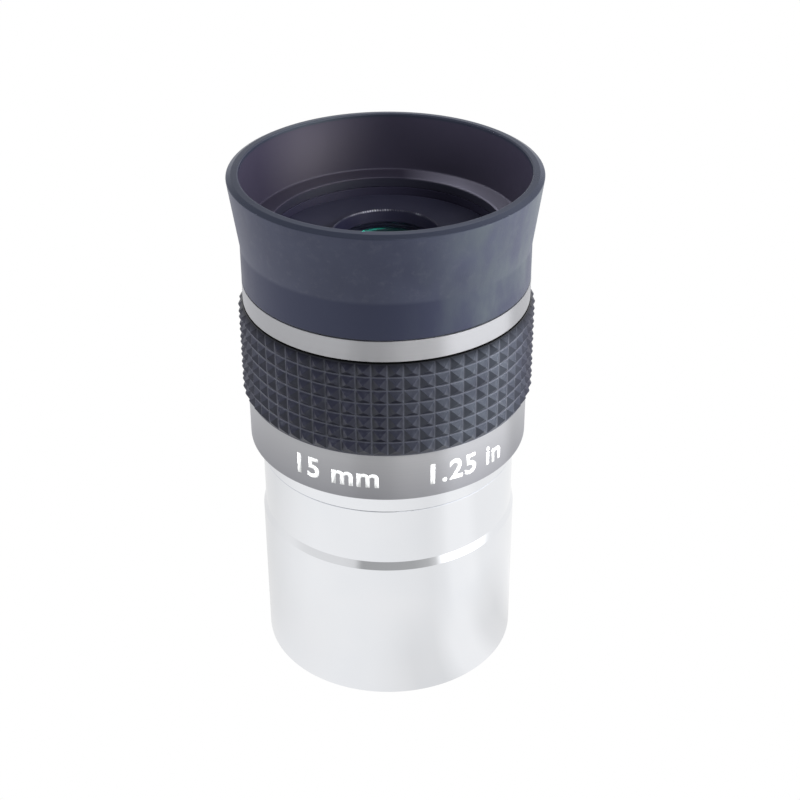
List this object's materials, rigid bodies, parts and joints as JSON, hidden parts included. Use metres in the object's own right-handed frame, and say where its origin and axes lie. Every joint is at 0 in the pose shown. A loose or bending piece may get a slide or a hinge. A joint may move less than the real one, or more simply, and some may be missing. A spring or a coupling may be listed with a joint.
{
  "type": "telescope eyepiece",
  "caption": "Telescope eyepiece with a chrome push-fit barrel, ribbed grip, two lens groups and a fold-down rubber eyecup.",
  "frame": {"origin": "centre of the barrel's open end, on the face the eyepiece stands on", "axes": "+Z along the optical axis towards the eye; X and Y across it, with the marking facing -Y"},
  "size_m": [0.0362, 0.0362, 0.0644],
  "materials": {
    "chrome": "polished",
    "satin_metal": "satin",
    "grip_rubber": "matte",
    "cup_rubber": "matte",
    "black_metal": "black anodised",
    "crown_glass": "coated",
    "flint_glass": "coated"
  },
  "bodies": {
    "barrel": {"nosepiece_barrel": "chrome"},
    "collar": {"barrel_collar": "chrome"},
    "housing": {"body_shell": "satin_metal", "upper_ring": "satin_metal", "grip_sleeve": "grip_rubber", "eyecup_base": "cup_rubber", "eyecup_skirt": "cup_rubber", "lens_cell": "black_metal", "eye_bezel": "black_metal", "eye_flint": "flint_glass", "eye_crown": "crown_glass", "lens_spacer": "black_metal", "field_crown": "crown_glass", "field_flint": "flint_glass", "lens_retainer": "black_metal", "field_stop": "black_metal"},
    "cup_rim": {"eyecup_rim": "cup_rubber"}
  },
  "joints": [
    {"name": "body_rise", "type": "slide", "parent": "barrel", "child": "collar", "axis": [0, 0, 1], "range_m": [0, 0.0038]},
    {"name": "body_unscrew", "type": "hinge", "parent": "collar", "child": "housing", "pos_m": [0, 0, 0.033], "axis": [0, 0, 1], "range_deg": [0, 1800]},
    {"name": "eyecup_fold", "type": "slide", "parent": "housing", "child": "cup_rim", "axis": [0, 0, -1], "range_m": [0, 0.012], "deforming": ["eyecup_skirt"]}
  ],
  "couplings": [
    {"joint": "body_rise", "follows": "body_unscrew", "m_per_rad": 0.00011937}
  ]
}
